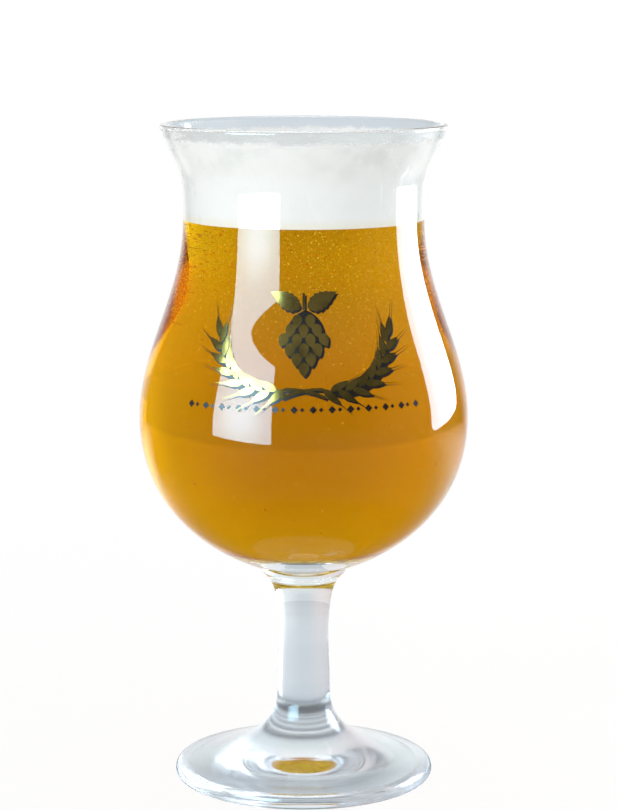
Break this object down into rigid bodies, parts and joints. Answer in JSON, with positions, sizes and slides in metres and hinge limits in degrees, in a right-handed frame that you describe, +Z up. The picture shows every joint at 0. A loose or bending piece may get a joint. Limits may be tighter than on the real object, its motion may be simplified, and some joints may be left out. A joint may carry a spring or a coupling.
{
  "type": "tulip beer glass",
  "caption": "Stemmed tulip drinking glass with a flared lip, a round belly and a wide foot, poured with amber beer under a white head of foam.",
  "frame": {"origin": "centre of the foot, on the plane of the ring that the glass stands on", "axes": "+Z up along the axis that every piece is turned about; the picture looks along +Y"},
  "size_m": [0.0844, 0.0844, 0.17],
  "materials": {
    "bowl_glass": "clear blown glass, fire-polished",
    "stem_glass": "clear solid glass, fire-polished",
    "foot_glass": "clear pressed glass, fire-polished",
    "amber_beer": "clear amber liquid with fine bubbles",
    "beer_foam": "fine white foam"
  },
  "bodies": {
    "root": {"bowl": "bowl_glass", "stem": "stem_glass", "foot": "foot_glass", "beer": "amber_beer", "foam_head": "beer_foam"}
  },
  "joints": []
}
